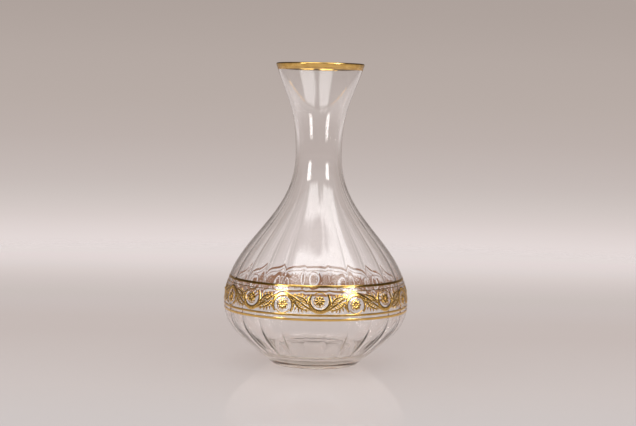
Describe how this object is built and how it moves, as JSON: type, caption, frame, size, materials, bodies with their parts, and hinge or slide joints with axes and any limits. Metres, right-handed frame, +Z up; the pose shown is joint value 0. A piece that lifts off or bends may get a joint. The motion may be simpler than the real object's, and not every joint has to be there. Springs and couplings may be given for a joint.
{
  "type": "carafe",
  "caption": "Blown glass carafe with a flared mouth, ribs pressed inside the wall, and a gilded lip, lines and scroll frieze.",
  "frame": {"origin": "centre of the foot ring, on the surface that the carafe stands on", "axes": "+Z up along the axis of the body; -Y towards the picture's camera; the body is turned, so X and Y are alike but for the frieze's start"},
  "size_m": [0.1668, 0.1668, 0.2704],
  "materials": {
    "clear_glass": "clear, fire-polished",
    "fired_gold": "fired and burnished gold"
  },
  "bodies": {
    "root": {"glass_body": "clear_glass", "lip_gilding": "fired_gold", "upper_gilt_line": "fired_gold", "lower_gilt_line": "fired_gold", "frieze_top_border": "fired_gold", "frieze_bottom_border": "fired_gold", "scroll_01": "fired_gold", "scroll_02": "fired_gold", "scroll_03": "fired_gold", "scroll_04": "fired_gold", "scroll_05": "fired_gold", "scroll_06": "fired_gold", "scroll_07": "fired_gold", "scroll_08": "fired_gold", "scroll_09": "fired_gold", "scroll_10": "fired_gold", "scroll_11": "fired_gold", "scroll_12": "fired_gold", "scroll_13": "fired_gold", "scroll_14": "fired_gold", "scroll_15": "fired_gold", "scroll_16": "fired_gold", "rosette_01": "fired_gold", "rosette_02": "fired_gold", "rosette_03": "fired_gold", "rosette_04": "fired_gold", "rosette_05": "fired_gold", "rosette_06": "fired_gold", "rosette_07": "fired_gold", "rosette_08": "fired_gold", "rosette_09": "fired_gold", "rosette_10": "fired_gold", "rosette_11": "fired_gold", "rosette_12": "fired_gold", "rosette_13": "fired_gold", "rosette_14": "fired_gold", "rosette_15": "fired_gold", "rosette_16": "fired_gold", "leaf_spray_01": "fired_gold", "leaf_spray_02": "fired_gold", "leaf_spray_03": "fired_gold", "leaf_spray_04": "fired_gold", "leaf_spray_05": "fired_gold", "leaf_spray_06": "fired_gold", "leaf_spray_07": "fired_gold", "leaf_spray_08": "fired_gold", "leaf_spray_09": "fired_gold", "leaf_spray_10": "fired_gold", "leaf_spray_11": "fired_gold", "leaf_spray_12": "fired_gold", "leaf_spray_13": "fired_gold", "leaf_spray_14": "fired_gold", "leaf_spray_15": "fired_gold", "leaf_spray_16": "fired_gold"}
  },
  "joints": []
}
